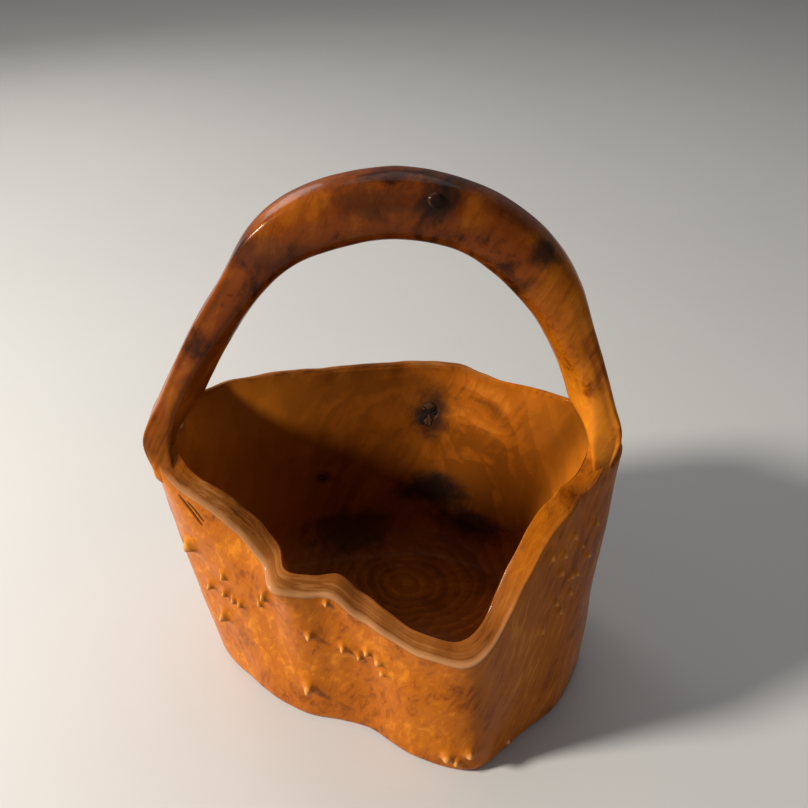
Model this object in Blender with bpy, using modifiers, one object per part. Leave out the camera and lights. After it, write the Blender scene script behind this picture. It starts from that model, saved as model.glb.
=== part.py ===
"""Burl basket carved from one block, with a thick arched handle. Metres, +Z up.

The origin is on the surface that the basket stands on, under the middle of its box.
+X runs to the right from leg to leg, +Y to the back.
"""

import math

import bmesh
import bpy
import numpy as np
from mathutils import Matrix, Vector

# ---------------------------------------------------------------- driving sizes
WIDTH = 0.272  # over the two shoulders
DEPTH = 0.221  # from the front corner to the back rim
SHOULDER_HEIGHT = 0.170  # rim beside the handle's legs
BACK_HEIGHT = 0.155  # rim at the back
FRONT_HEIGHT = 0.100  # rim at the front corner, its lowest point
HANDLE_TOP = 0.337  # highest point of the arch
HANDLE_THICKNESS = 0.033  # arch at its crown, underside to top
HANDLE_DEPTH = 0.030  # arch at its crown, front to back
HANDLE_SETBACK = -0.012  # y of the arch's plane
LEG_ROOT = 0.010  # height of each leg's root above the shoulder rim
WALL = 0.0125  # wall at the rim
WALL_FOOT = 0.018  # wall near the floor
FLOOR = 0.016  # floor under the hollow
FLOOR_CORNER = 0.028  # radius between floor and wall
FOOT_ROUND = 0.005  # rounding round the underside
RIM_ROUND = 0.003  # easing of the rim's edges
RIM_TILT = 0.005  # how far the rim's inner edge stands above its outer edge
WALL_KNOT = 0.0125  # larger lobe of the wall's knot, across
HANDLE_KNOT = 0.0065  # handle's knot, across
PIN_KNOT = 0.0045  # smallest knot, across
KNOT_DEPTH = 0.007  # how deep a knot reaches into the wood
KNOT_PROUD = 0.004  # how far a plug or its cutter starts outside the surface
CLEARANCE = 0.0003  # between a piece and what holds it

# Outline in plan: angle in degrees from +X, anticlockwise, then the radius of the underside, of the
# wall three quarters up and of the rim, each as a share of the ellipse WIDTH by DEPTH, and the
# rim's height: 0 at the front corner, 1 at the shoulders, with the back's rim between them.
STATIONS = (
    (-6, 0.965, 0.985, 1.00, 1.00),
    (13, 0.93, 0.99, 1.03, 0.88),
    (35, 0.93, 1.03, 1.08, 0.76),
    (52, 0.90, 0.98, 1.02, 0.74),
    (73, 0.86, 1.00, 1.04, 0.79),
    (100, 0.82, 0.95, 0.98, 0.79),
    (124, 0.86, 1.00, 1.05, 0.79),
    (140, 0.89, 1.09, 1.15, 0.78),
    (161, 0.86, 1.00, 1.05, 0.88),
    (188, 0.83, 0.95, 1.02, 1.00),
    (199, 0.80, 0.90, 0.985, 0.94),
    (206, 0.78, 0.83, 0.84, 0.82),
    (214, 0.76, 0.77, 0.75, 0.62),
    (226, 0.73, 0.73, 0.725, 0.38),
    (238, 0.70, 0.73, 0.77, 0.28),
    (251, 0.67, 0.69, 0.70, 0.25),
    (265, 0.70, 0.73, 0.76, 0.11),
    (279, 0.88, 0.88, 0.90, 0.00),
    (292, 1.01, 1.00, 1.005, 0.02),
    (302, 0.97, 0.95, 0.93, 0.26),
    (311, 0.945, 0.91, 0.875, 0.54),
    (325, 0.95, 0.90, 0.875, 0.86),
    (339, 0.95, 0.93, 0.91, 0.94),
)
BACK_FROM, BACK_TO = 20.0, 150.0  # angles between which the rim follows BACK_HEIGHT
BACK_FADE = 20.0  # degrees over which it starts and stops doing so
BACK_SHARE = 0.79  # rim share that stands at BACK_HEIGHT there
KNEE = 0.75  # share of the rim's height at which the wall's middle radius holds

# Centre line of the arch: place across as a share of half of WIDTH, height as a share of the way
# from the shoulders to the crown, then thickness and depth as shares of the crown's.
ARCH = (
    (-0.915, -0.15, 0.46, 1.30),
    (-0.905, 0.03, 0.84, 1.35),
    (-0.848, 0.20, 0.72, 1.08),
    (-0.705, 0.45, 0.70, 0.92),
    (-0.553, 0.67, 0.72, 0.88),
    (-0.395, 0.86, 0.86, 0.92),
    (-0.205, 0.96, 0.96, 0.97),
    (0.037, 1.00, 1.00, 1.00),
    (0.279, 0.96, 1.00, 1.00),
    (0.458, 0.86, 0.99, 1.00),
    (0.610, 0.71, 0.93, 1.00),
    (0.710, 0.52, 0.78, 0.98),
    (0.800, 0.32, 0.75, 1.05),
    (0.880, 0.12, 0.78, 1.25),
    (0.920, -0.15, 0.42, 1.35),
)
SQUARENESS = 2.6  # power of the arch's section: 2 is an ellipse, more is squarer

# Places of the knots: angle in plan and share of the rim's height, or share along the arch and
# angle up from straight ahead round its section.
WALL_KNOT_AT = (77.0, 0.77)
PIN_KNOT_AT = (116.5, 0.49)
HANDLE_KNOT_AT = (0.537, 26.0)

ROUND_POINTS = 44  # cage points round the bowl
ARCH_RINGS = 26  # cage rings along the arch
ARCH_POINTS = 10  # cage points round each ring
KNOT_SIDES = 20
KNOT_TAPER = 0.76  # a knot's inner end as a share of its face
KNOT_STEP = 0.15  # a second lobe's end stands back by this share

STAND = "stand"  # empty that every piece hangs under
CROWN = HANDLE_TOP - HANDLE_THICKNESS / 2
SEAM = SHOULDER_HEIGHT + LEG_ROOT
REACH = 2 * max(WIDTH, DEPTH, HANDLE_TOP)  # size of the blocks that cut whole sides away


# ---------------------------------------------------------------- shape of the block
def through(places, values, at, period=None):
    """Smooth curve through values at uneven places: a Hermite cubic whose slope at each place is
    that of the chord between its two neighbours. With a period the curve closes on itself."""
    places = np.asarray(places, float)
    values = np.asarray(values, float)
    at = np.asarray(at, float)
    if period:
        at = places[0] + (at - places[0]) % period
        places = np.concatenate((places[-2:] - period, places, places[:2] + period))
        values = np.concatenate((values[-2:], values, values[:2]))
    slopes = np.gradient(values, places)
    i = np.clip(np.searchsorted(places, at, side="right") - 1, 0, len(places) - 2)
    span = places[i + 1] - places[i]
    t = (at - places[i]) / span
    return (
        values[i] * (2 * t**3 - 3 * t**2 + 1)
        + slopes[i] * span * (t**3 - 2 * t**2 + t)
        + values[i + 1] * (3 * t**2 - 2 * t**3)
        + slopes[i + 1] * span * (t**3 - t**2)
    )


def outline(column, degrees):
    """One column of STATIONS at any angle in plan."""
    table = np.array(STATIONS)
    return through(table[:, 0], table[:, column], degrees, period=360.0)


def rim_height(degrees):
    """Height of the rim: its share between front corner and shoulders, and at the back the
    part of it that BACK_HEIGHT sets."""
    share = outline(4, degrees)
    turned = (np.asarray(degrees, float) + 90.0) % 360.0 - 90.0
    inside = np.minimum(turned - BACK_FROM, BACK_TO - turned) / BACK_FADE
    back = np.clip(inside, 0.0, 1.0)
    usual = FRONT_HEIGHT + share * (SHOULDER_HEIGHT - FRONT_HEIGHT)
    behind = BACK_HEIGHT + (share - BACK_SHARE) * (SHOULDER_HEIGHT - FRONT_HEIGHT)
    return usual + back * (behind - usual)


def outer_point(degrees, up):
    """Point of the outer wall: up is 0 at the underside and 1 at the rim. The radius is the
    quadratic through the outline's three radii."""
    foot, wall, rim = (outline(c, degrees) for c in (1, 2, 3))
    radius = (
        foot * (up - KNEE) * (up - 1) / KNEE
        + wall * up * (up - 1) / (KNEE * (KNEE - 1))
        + rim * up * (up - KNEE) / (1 - KNEE)
    )
    angle = np.radians(degrees)
    return np.stack(
        (
            radius * WIDTH / 2 * np.cos(angle),
            radius * DEPTH / 2 * np.sin(angle),
            up * rim_height(degrees),
        ),
        axis=-1,
    )


def pulled_in(points, distance):
    """Points moved level towards the middle by a distance."""
    level = points.copy()
    level[..., 2] = 0.0
    length = np.linalg.norm(level, axis=-1, keepdims=True)
    return points - level / length * np.asarray(distance)[..., None]


def inner_point(degrees, up):
    """Point of the inner wall at a share of the rim's height."""
    thickness = WALL + (WALL_FOOT - WALL) * (1 - up)
    return pulled_in(outer_point(degrees, up), thickness)


def arch_values(along):
    """Centre, thickness and depth of the arch at shares 0 to 1 along it."""
    table = np.array(ARCH)
    steps = np.linspace(0.0, 1.0, len(table))
    across, rise, thick, deep = (through(steps, table[:, c], along) for c in range(4))
    centre = np.stack(
        (
            across * WIDTH / 2,
            np.full_like(across, HANDLE_SETBACK),
            SHOULDER_HEIGHT + rise * (CROWN - SHOULDER_HEIGHT),
        ),
        axis=-1,
    )
    return centre, thick * HANDLE_THICKNESS / 2, deep * HANDLE_DEPTH / 2


def arch_point(along, round_angle):
    """Point of the arch's surface: a squarish oval across its centre line. The angle is 0
    straight ahead at the front and 90 degrees on the outer side."""
    centre, thick, deep = arch_values(along)
    step = 1e-3
    run = arch_values(along + step)[0] - arch_values(along - step)[0]
    run /= np.linalg.norm(run, axis=-1, keepdims=True)
    out = np.stack((-run[..., 2], np.zeros_like(run[..., 0]), run[..., 0]), axis=-1)
    c, s = np.cos(round_angle), np.sin(round_angle)
    ahead = np.sign(c) * np.abs(c) ** (2 / SQUARENESS) * deep
    outwards = np.sign(s) * np.abs(s) ** (2 / SQUARENESS) * thick
    point = centre + out * outwards[..., None]
    point[..., 1] -= ahead
    return point


# ---------------------------------------------------------------- helpers
def collection(name):
    """New collection linked to the scene."""
    made = bpy.data.collections.new(name)
    bpy.context.scene.collection.children.link(made)
    return made


def wood(name, colour, roughness):
    """Varnished wood of one colour."""
    material = bpy.data.materials.new(name)
    material.use_nodes = True
    shader = material.node_tree.nodes["Principled BSDF"]
    shader.inputs["Base Color"].default_value = (*colour, 1.0)
    shader.inputs["Roughness"].default_value = roughness
    shader.inputs["Metallic"].default_value = 0.0
    return material


def placed(name, mesh, home, material=None, guide=False):
    """Object of a mesh in a collection, under the empty that stands the block on the origin.
    A guide is only cut or joined with."""
    piece = bpy.data.objects.new(name, mesh)
    piece.parent = bpy.data.objects[STAND]
    home.objects.link(piece)
    if material:
        mesh.materials.clear()
        mesh.materials.append(material)
    if guide:
        piece.hide_render = True
        piece.display_type = "WIRE"
    return piece


def smooth_shaded(mesh):
    mesh.shade_smooth()
    mesh.set_sharp_from_angle(angle=math.radians(40))


def subdivided(piece):
    """One level of subdivision, the same in the viewport and in a render."""
    soft = piece.modifiers.new("soft_form", "SUBSURF")
    soft.levels = 1
    soft.render_levels = 1


def boolean(piece, operation, other):
    cut = piece.modifiers.new(f"{operation.lower()}_{other.name}", "BOOLEAN")
    cut.operation = operation
    cut.object = other
    cut.solver = "EXACT"


def loft(rings, creases):
    """Closed cage through rings of equal count, from the first ring's flat cap to the last's.
    Creases names the rings whose edge stays sharp."""
    bm = bmesh.new()
    crease = bm.edges.layers.float.new("crease_edge")
    rows = [[bm.verts.new(p) for p in ring] for ring in rings]
    count = len(rows[0])
    bm.faces.new(rows[0][::-1])
    for low, high in zip(rows, rows[1:]):
        for i in range(count):
            j = (i + 1) % count
            bm.faces.new((low[i], low[j], high[j], high[i]))
    bm.faces.new(rows[-1])
    for k, weight in creases.items():
        for i in range(count):
            edge = bm.edges.get((rows[k][i], rows[k][(i + 1) % count]))
            edge[crease] = weight
    bmesh.ops.recalc_face_normals(bm, faces=bm.faces)
    mesh = bpy.data.meshes.new("loft")
    bm.to_mesh(mesh)
    bm.free()
    return mesh


def block(name, low, high, home):
    """Box between two corners, used as a cutter."""
    bm = bmesh.new()
    bmesh.ops.create_cube(bm, size=1.0)
    low, high = Vector(low), Vector(high)
    size = high - low
    bmesh.ops.scale(bm, vec=size, verts=bm.verts)
    bmesh.ops.translate(bm, vec=(low + high) / 2, verts=bm.verts)
    mesh = bpy.data.meshes.new(name)
    bm.to_mesh(mesh)
    bm.free()
    return placed(name, mesh, home, guide=True)


# ---------------------------------------------------------------- bowl and arch
def bowl_cage():
    """Rings from the middle of the underside, up the outer wall, over the rim, down the inner
    wall and across the floor."""
    degrees = np.arange(ROUND_POINTS) * 360.0 / ROUND_POINTS
    height = rim_height(degrees)
    foot = outer_point(degrees, np.zeros_like(degrees))
    rings = [pulled_in(foot, FOOT_ROUND + 0.020), pulled_in(foot, FOOT_ROUND)]
    rings.append(outer_point(degrees, FOOT_ROUND / height))
    rings += [outer_point(degrees, np.full_like(degrees, up)) for up in (0.25, 0.50, 0.75)]
    rings.append(outer_point(degrees, 1 - 2 * RIM_ROUND / height))
    rim = outer_point(degrees, np.ones_like(degrees))
    crest = pulled_in(rim, WALL - RIM_ROUND)
    crest[:, 2] += RIM_TILT
    rings += [pulled_in(rim, RIM_ROUND), crest]
    rings.append(inner_point(degrees, 1 - 2 * RIM_ROUND / height))
    bend = (FLOOR + FLOOR_CORNER) / height
    rings.append(inner_point(degrees, (1 + bend) / 2))
    wall_end = inner_point(degrees, bend)
    rings.append(wall_end)
    near = pulled_in(wall_end, FLOOR_CORNER * 0.35)
    near[:, 2] = FLOOR + FLOOR_CORNER * 0.25
    flat = pulled_in(wall_end, FLOOR_CORNER)
    flat[:, 2] = FLOOR
    middle = flat * 0.5
    middle[:, 2] = FLOOR
    rings += [near, flat, middle]
    return loft(rings, {1: 1.0, 7: 0.4, 8: 0.4})


def arch_cage():
    """Rings along the arch, from inside one shoulder to inside the other."""
    angles = np.arange(ARCH_POINTS) * 2 * math.pi / ARCH_POINTS
    rings = []
    for along in np.linspace(0.0, 1.0, ARCH_RINGS):
        rings.append(arch_point(np.full_like(angles, along), angles))
    return loft(rings, {0: 1.0, ARCH_RINGS - 1: 1.0})


# ---------------------------------------------------------------- knots
def facing(normal):
    """Turn that takes +Z to a direction."""
    return Vector(normal).to_track_quat("Z", "Y").to_matrix().to_4x4()


def surface_frame(point, along_u, along_v):
    """Place on a surface with +Z along its outward normal."""
    normal = Vector(np.cross(along_u, along_v)).normalized()
    return Matrix.Translation(Vector(point)) @ facing(normal)


def inner_wall_frame(degrees, up):
    """Place on the inner wall, facing into the hollow."""
    here = inner_point(np.array(degrees), np.array(up))
    aside = inner_point(np.array(degrees + 1.0), np.array(up)) - here
    above = inner_point(np.array(degrees), np.array(up + 0.02)) - here
    return surface_frame(here, above, aside)


def arch_frame(along, degrees):
    """Place on the arch, facing out of it."""
    angle = math.radians(degrees)
    here = arch_point(np.array(along), np.array(angle))
    further = arch_point(np.array(along + 0.01), np.array(angle)) - here
    higher = arch_point(np.array(along), np.array(angle + 0.05)) - here
    return surface_frame(here, further, higher)


def plug(name, frame, lobes, grow, home, cutters):
    """Tapered plug of one or two round lobes, joined. Each lobe is its diameter and its place
    across the face. Grow widens and deepens it, which makes the socket. It starts proud of the
    surface, where it is trimmed, or cuts. Ends of the lobes are stepped so that none coincide."""
    parts = []
    for i, (across, aside, above) in enumerate(lobes):
        proud = KNOT_PROUD * (1 + KNOT_STEP * i)
        depth = KNOT_DEPTH * (1 - KNOT_STEP * i) + grow
        bm = bmesh.new()
        bmesh.ops.create_cone(
            bm,
            cap_ends=True,
            segments=KNOT_SIDES,
            radius1=across * KNOT_TAPER / 2 + grow,
            radius2=across / 2 + grow,
            depth=depth + proud,
        )
        bm.transform(frame @ Matrix.Translation((aside, above, (proud - depth) / 2)))
        mesh = bpy.data.meshes.new(f"{name}_lobe")
        bm.to_mesh(mesh)
        bm.free()
        if parts:
            parts.append(placed(f"{name}_lobe_{i}", mesh, cutters, guide=True))
            boolean(parts[0], "UNION", parts[-1])
        else:
            parts.append(placed(name, mesh, home, guide=home is cutters))
    return parts[0]


# ---------------------------------------------------------------- assembly
def stand(home):
    """Empty that brings the middle of the rim's box over the origin."""
    rim = outer_point(np.arange(360.0), np.ones(360))
    middle = (rim.min(axis=0) + rim.max(axis=0)) / 2
    empty = bpy.data.objects.new(STAND, None)
    empty.location = (-middle[0], -middle[1], 0.0)
    home.objects.link(empty)


def build():
    for old in list(bpy.data.objects):
        bpy.data.objects.remove(old, do_unlink=True)
    basket = collection("burl_basket")
    cutters = collection("cutters")
    stand(basket)

    burl = wood("burl_wood", (0.36, 0.13, 0.035), 0.28)
    handle_wood = wood("handle_wood", (0.30, 0.10, 0.028), 0.26)
    dark_knot = wood("dark_knot", (0.03, 0.014, 0.008), 0.45)

    bowl_shape = bowl_cage()
    arch_shape = arch_cage()
    smooth_shaded(bowl_shape)
    smooth_shaded(arch_shape)

    bowl_blank = placed("bowl_blank", bowl_shape.copy(), cutters, guide=True)
    subdivided(bowl_blank)
    arch_blank = placed("arch_blank", arch_shape.copy(), cutters, guide=True)
    subdivided(arch_blank)
    leg_roots = placed("leg_roots", arch_shape.copy(), cutters, guide=True)
    subdivided(leg_roots)
    above = block("above_seam", (-REACH, -REACH, SEAM), (REACH, REACH, REACH), cutters)
    below = block("below_seam", (-REACH, -REACH, -REACH), (REACH, REACH, SEAM + CLEARANCE), cutters)
    boolean(leg_roots, "DIFFERENCE", above)

    bowl = placed("bowl", bowl_shape, basket, burl)
    subdivided(bowl)
    boolean(bowl, "UNION", leg_roots)
    handle = placed("handle", arch_shape, basket, handle_wood)
    subdivided(handle)
    boolean(handle, "DIFFERENCE", below)

    apart = WALL_KNOT * 0.30
    two_lobes = (
        (WALL_KNOT, apart * 0.4, apart),
        (WALL_KNOT * 0.8, -apart * 0.4, -apart * 0.9),
    )
    knots = (
        ("wall_knot", inner_wall_frame(*WALL_KNOT_AT), two_lobes, bowl, bowl_blank),
        ("pin_knot", inner_wall_frame(*PIN_KNOT_AT), ((PIN_KNOT, 0, 0),), bowl, bowl_blank),
        ("handle_knot", arch_frame(*HANDLE_KNOT_AT), ((HANDLE_KNOT, 0, 0),), handle, arch_blank),
    )
    for name, frame, lobes, holder, blank in knots:
        socket = plug(f"{name}_socket", frame, lobes, CLEARANCE, cutters, cutters)
        boolean(holder, "DIFFERENCE", socket)
        knot = plug(name, frame, lobes, 0.0, basket, cutters)
        knot.data.materials.append(dark_knot)
        boolean(knot, "INTERSECT", blank)


build()
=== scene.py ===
"""Looks of a burl basket: a hollowed bowl and a thick arched handle carved from one block, with
three dead knots in it, under glossy varnish. Metres, +Z up, +Y to the back."""

import math

import bmesh
import bpy
import numpy as np
from mathutils import Matrix, Vector


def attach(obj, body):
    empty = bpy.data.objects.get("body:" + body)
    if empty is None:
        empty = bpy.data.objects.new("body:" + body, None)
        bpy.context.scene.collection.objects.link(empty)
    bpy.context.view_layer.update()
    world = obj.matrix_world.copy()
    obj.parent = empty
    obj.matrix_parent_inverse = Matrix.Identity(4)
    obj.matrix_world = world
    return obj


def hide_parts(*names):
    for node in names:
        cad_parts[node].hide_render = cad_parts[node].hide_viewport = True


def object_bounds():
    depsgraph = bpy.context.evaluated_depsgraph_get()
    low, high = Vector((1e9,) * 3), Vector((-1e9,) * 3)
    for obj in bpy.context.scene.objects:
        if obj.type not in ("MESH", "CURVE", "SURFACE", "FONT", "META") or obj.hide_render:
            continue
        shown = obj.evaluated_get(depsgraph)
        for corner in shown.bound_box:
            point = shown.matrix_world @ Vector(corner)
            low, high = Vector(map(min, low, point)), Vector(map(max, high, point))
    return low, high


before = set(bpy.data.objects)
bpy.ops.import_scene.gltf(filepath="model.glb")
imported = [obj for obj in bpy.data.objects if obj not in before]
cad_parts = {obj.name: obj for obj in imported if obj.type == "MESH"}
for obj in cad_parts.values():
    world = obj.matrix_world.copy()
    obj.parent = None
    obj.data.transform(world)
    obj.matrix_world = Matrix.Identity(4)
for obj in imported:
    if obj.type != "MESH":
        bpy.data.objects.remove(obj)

cad_low, cad_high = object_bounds()

# ---------------------------------------------------------------- sizes of the block
WIDTH = 0.272  # over the two shoulders
DEPTH = 0.221  # front corner to back rim
SHOULDER_HEIGHT = 0.170  # rim beside the handle's legs
BACK_HEIGHT = 0.155
FRONT_HEIGHT = 0.100  # rim at the front corner, its lowest point
HANDLE_TOP = 0.337
HANDLE_THICKNESS = 0.033
HANDLE_DEPTH = 0.030
HANDLE_SETBACK = -0.012
WALL = 0.0125
WALL_FOOT = 0.018
WALL_BACK = 0.0040  # the back's rim is pared down to this
PARED = 0.30  # share of the rim's height over which the wall gets there
FLOOR = 0.016
FLOOR_CORNER = 0.028
ROOT_INSET = 0.0040  # how far inside the wall's faces a leg of the handle starts
ROOT_PROUD = 0.0003  # how far it stands out of them at the rim
ROOT_DEEP = 0.010  # how far under the rim it gets there
ROOT_FADE = 0.038  # how far above the rim a leg has its own section
FOOT_ROUND = 0.005
RIM_EDGE = 0.0014  # rounding of the rim's two edges
CROWN = HANDLE_TOP - HANDLE_THICKNESS / 2

# Angle in plan, shares of the ellipse WIDTH by DEPTH at the foot, three quarters up and at the
# rim, and the rim's height from the front corner (0) to the shoulders (1).
STATIONS = (
    (-6, 0.965, 0.985, 1.00, 1.00),
    (13, 0.93, 0.99, 1.03, 0.88),
    (35, 0.93, 1.03, 1.08, 0.76),
    (52, 0.90, 0.98, 1.02, 0.74),
    (73, 0.86, 1.00, 1.04, 0.79),
    (100, 0.82, 0.95, 0.98, 0.79),
    (124, 0.86, 1.00, 1.05, 0.79),
    (140, 0.89, 1.09, 1.15, 0.78),
    (161, 0.86, 1.00, 1.05, 0.88),
    (188, 0.83, 0.95, 0.985, 1.00),
    (199, 0.78, 0.875, 0.950, 0.94),
    (206, 0.745, 0.805, 0.84, 0.82),
    (214, 0.725, 0.745, 0.75, 0.62),
    (226, 0.71, 0.71, 0.725, 0.38),
    (238, 0.70, 0.73, 0.77, 0.28),
    (251, 0.67, 0.69, 0.70, 0.25),
    (265, 0.70, 0.73, 0.76, 0.11),
    (279, 0.88, 0.88, 0.90, 0.00),
    (292, 1.01, 1.00, 1.005, 0.02),
    (302, 0.97, 0.95, 0.93, 0.26),
    (311, 0.945, 0.91, 0.875, 0.54),
    (325, 0.95, 0.90, 0.875, 0.86),
    (339, 0.95, 0.93, 0.91, 0.94),
)
BACK_FROM, BACK_TO = 20.0, 150.0  # angles between which BACK_HEIGHT sets the rim
BACK_FADE = 20.0
BACK_SHARE = 0.79  # height in STATIONS that stands for BACK_HEIGHT
KNEE = 0.75  # height share of the middle one of the three radii
UNEVEN = 0.0007  # how much the hand-carved rim wanders up, down, in and out

# Centre line of the handle: across, rise, thickness, depth, how far its front outer corner stands
# out as a ridge, and how much of its front is pared away on the inner side, all as shares.
ARCH = (
    (-0.915, -0.15, 0.46, 1.30, 0.00, 0.00),
    (-0.905, 0.03, 0.84, 1.35, 0.02, 0.10),
    (-0.848, 0.20, 0.72, 1.08, 0.12, 0.30),
    (-0.705, 0.45, 0.70, 0.92, 0.20, 0.28),
    (-0.553, 0.67, 0.72, 0.88, 0.20, 0.10),
    (-0.395, 0.86, 0.86, 0.92, 0.12, 0.00),
    (-0.205, 0.96, 0.96, 0.97, 0.06, 0.00),
    (0.037, 1.00, 1.00, 1.00, 0.03, 0.00),
    (0.279, 0.96, 1.00, 1.00, 0.03, 0.00),
    (0.458, 0.86, 0.99, 1.00, 0.04, 0.00),
    (0.610, 0.71, 0.93, 1.00, 0.06, 0.00),
    (0.710, 0.52, 0.78, 0.98, 0.12, 0.10),
    (0.796, 0.32, 0.75, 1.05, 0.18, 0.28),
    (0.858, 0.12, 0.74, 1.28, 0.14, 0.15),
    (0.910, -0.15, 0.42, 1.35, 0.00, 0.00),
)
SQUARENESS = 2.6
ROOT_SQUARENESS = 5.0  # what the roots add to that
RIDGE_ANGLE = 48.0  # where the ridge runs round the section, from straight ahead
RIDGE_WIDTH = 17.0

RIM_TILT_BACK = 0.0005  # how far the inner edge of the rim stands above the outer edge
RIM_TILT_FRONT = 0.007
LIP_ANGLE, LIP_WIDTH, LIP_OUT = 233.0, 4.5, 0.0035  # tongue of the rim at the front left

ROUND_STEPS = 440  # faces round the bowl
ARCH_STEPS, ARCH_ROUND_STEPS = 300, 72  # faces along the handle and round it
WALL_ROWS, RIM_ROWS, HOLLOW_ROWS = 56, 12, 42  # up the outside, over the rim, down the inside
RIM_CROWN = 0.0005  # how far the rim's face bulges between its edges

# Where the rim sweeps up into the legs: angle of the leg's face, the way the rim runs from it,
# length and height of the sweep.
SWEEPS = (
    (195.8, 1, 0.024, 0.019),
    (176.2, -1, 0.015, 0.007),
    (344.4, -1, 0.024, 0.019),
    (3.2, 1, 0.015, 0.006),
)
SWEEP_RADIUS = 0.132  # of the plan, at the legs
SWEEP_POWER = 2.7
SWEEP_DROP = 0.005  # length of its fall inside a leg

# Burl spikes: angle, share of the rim's height, radius and height in millimetres.
SPIKES = (
    (195, 0.66, 6.0, 5.0), (206, 0.62, 3.2, 3.0), (197, 0.47, 3.2, 3.6), (204, 0.50, 3.0, 3.0),
    (208, 0.51, 3.0, 2.6), (200, 0.33, 5.0, 5.0), (211, 0.53, 3.0, 2.6), (224, 0.77, 3.6, 3.2),
    (221, 0.68, 2.8, 2.2), (250, 0.95, 2.6, 2.2), (243, 0.70, 3.4, 3.2), (255, 0.66, 3.4, 3.2),
    (261, 0.66, 2.8, 2.6), (264, 0.74, 3.2, 2.8), (268, 0.72, 3.6, 3.2), (269, 0.63, 2.6, 2.2),
    (240, 0.26, 5.2, 5.0), (286, 0.13, 4.2, 3.4), (288, 0.10, 3.2, 2.6), (291, 0.18, 4.0, 3.0),
    (303, 0.10, 3.0, 2.6), (319, 0.91, 3.2, 2.6), (324, 0.85, 3.2, 2.8), (323, 0.78, 3.0, 2.6),
    (328, 0.70, 3.2, 2.8), (331, 0.68, 3.0, 2.6), (328, 0.62, 3.2, 2.8), (321, 0.66, 3.0, 2.6),
    (323, 0.59, 3.2, 2.8), (315, 0.61, 2.8, 2.4), (337, 0.71, 3.0, 2.4), (340, 0.83, 3.2, 2.8),
    (329, 0.87, 2.8, 2.4), (333, 0.79, 2.6, 2.2),
)
SPIKES_STAND = 1.25  # times their own heights, because the faces round their tips off
SPIKE_FOOT = 0.16  # share of a spike's height that is its soft foot
# Gouge marks: height, seed of their random draw, shortest and longest wave, number of waves.
GOUGE_MARKS = ((0.00042, 11, 0.035, 0.090, 26), (0.00006, 12, 0.010, 0.022, 30))
# Drying checks under the left shoulder: angle and height share of both ends, depth in metres.
CHECKS = (
    (201.3, 0.975, 204.3, 0.865, 0.0009),
    (203.0, 0.965, 205.2, 0.90, 0.0006),
)
CHECK_WIDTH = 0.0011
CHECK_PLACE = (0.115, 0.16)  # distance from the middle of the plan, and rim height, at the checks
# Knots in the hollow: angle and height share. Knot in the handle: share along it, angle round it.
WALL_KNOT_AT = (77.0, 0.77)
PIN_KNOT_AT = (116.5, 0.49)
HANDLE_KNOT_AT = (0.537, 26.0)
KNOT_DEPTH = 0.007
KNOT_SUNK = 0.0012  # depth of the hollow in the wood under a knot's face


# ---------------------------------------------------------------- shape of the block
def through(places, values, at, period=None):
    """Smooth curve through values at uneven places: a Hermite cubic whose slope at each place is
    that of the chord between its two neighbours. With a period the curve closes on itself."""
    places = np.asarray(places, float)
    values = np.asarray(values, float)
    at = np.asarray(at, float)
    if period:
        at = places[0] + (at - places[0]) % period
        places = np.concatenate((places[-2:] - period, places, places[:2] + period))
        values = np.concatenate((values[-2:], values, values[:2]))
    slopes = np.gradient(values, places)
    i = np.clip(np.searchsorted(places, at, side="right") - 1, 0, len(places) - 2)
    span = places[i + 1] - places[i]
    t = (at - places[i]) / span
    return (
        values[i] * (2 * t**3 - 3 * t**2 + 1)
        + slopes[i] * span * (t**3 - 2 * t**2 + t)
        + values[i + 1] * (3 * t**2 - 2 * t**3)
        + slopes[i + 1] * span * (t**3 - t**2)
    )


def smooth(low, high, x):
    """S curve of a cubic, 0 at low and 1 at high; low may be the larger one."""
    t = np.clip((x - low) / (high - low), 0.0, 1.0)
    return t * t * (3 - 2 * t)


def turned(degrees, middle):
    """Angle from a middle, between -180 and 180 degrees."""
    return (np.asarray(degrees, float) - middle + 180.0) % 360.0 - 180.0


def bump(degrees, middle, width):
    """Bell curve of an angle, 1 at its middle."""
    return np.exp(-((turned(degrees, middle) / width) ** 2))


def wobble(degrees, seed, lowest, highest):
    """Sum of sines that close round the rim, from the lowest to the highest number of waves,
    each weaker as it gets finer. About 1 at its largest."""
    rng = np.random.default_rng(seed)
    waves = np.arange(lowest, highest)
    phase = rng.uniform(0, 2 * np.pi, len(waves))
    size = (lowest / waves) ** 0.8
    angle = np.radians(np.asarray(degrees, float))[..., None]
    return (np.sin(angle * waves + phase) * size).sum(-1) / np.sqrt((size**2).sum() * 2)


def outline(column, degrees):
    """One column of STATIONS at any angle in plan."""
    table = np.array(STATIONS)
    return through(table[:, 0], table[:, column], degrees, period=360.0)


def swept_up(degrees):
    """How far the rim sweeps up beside the legs: a power curve of the distance from a leg's
    face, dropping off again inside the leg."""
    rise = np.zeros_like(np.asarray(degrees, float))
    for face, way, length, height in SWEEPS:
        away = np.radians(turned(degrees, face)) * way * SWEEP_RADIUS
        outside = np.clip(1 - away / length, 0, 1) ** SWEEP_POWER
        inside = np.clip(1 + away / SWEEP_DROP, 0, 1)
        rise = np.maximum(rise, height * np.where(away > 0, outside, inside))
    return rise


def rim_height(degrees):
    """Height of the rim with its sweeps beside the legs."""
    return plain_rim(degrees) + swept_up(degrees)


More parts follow.
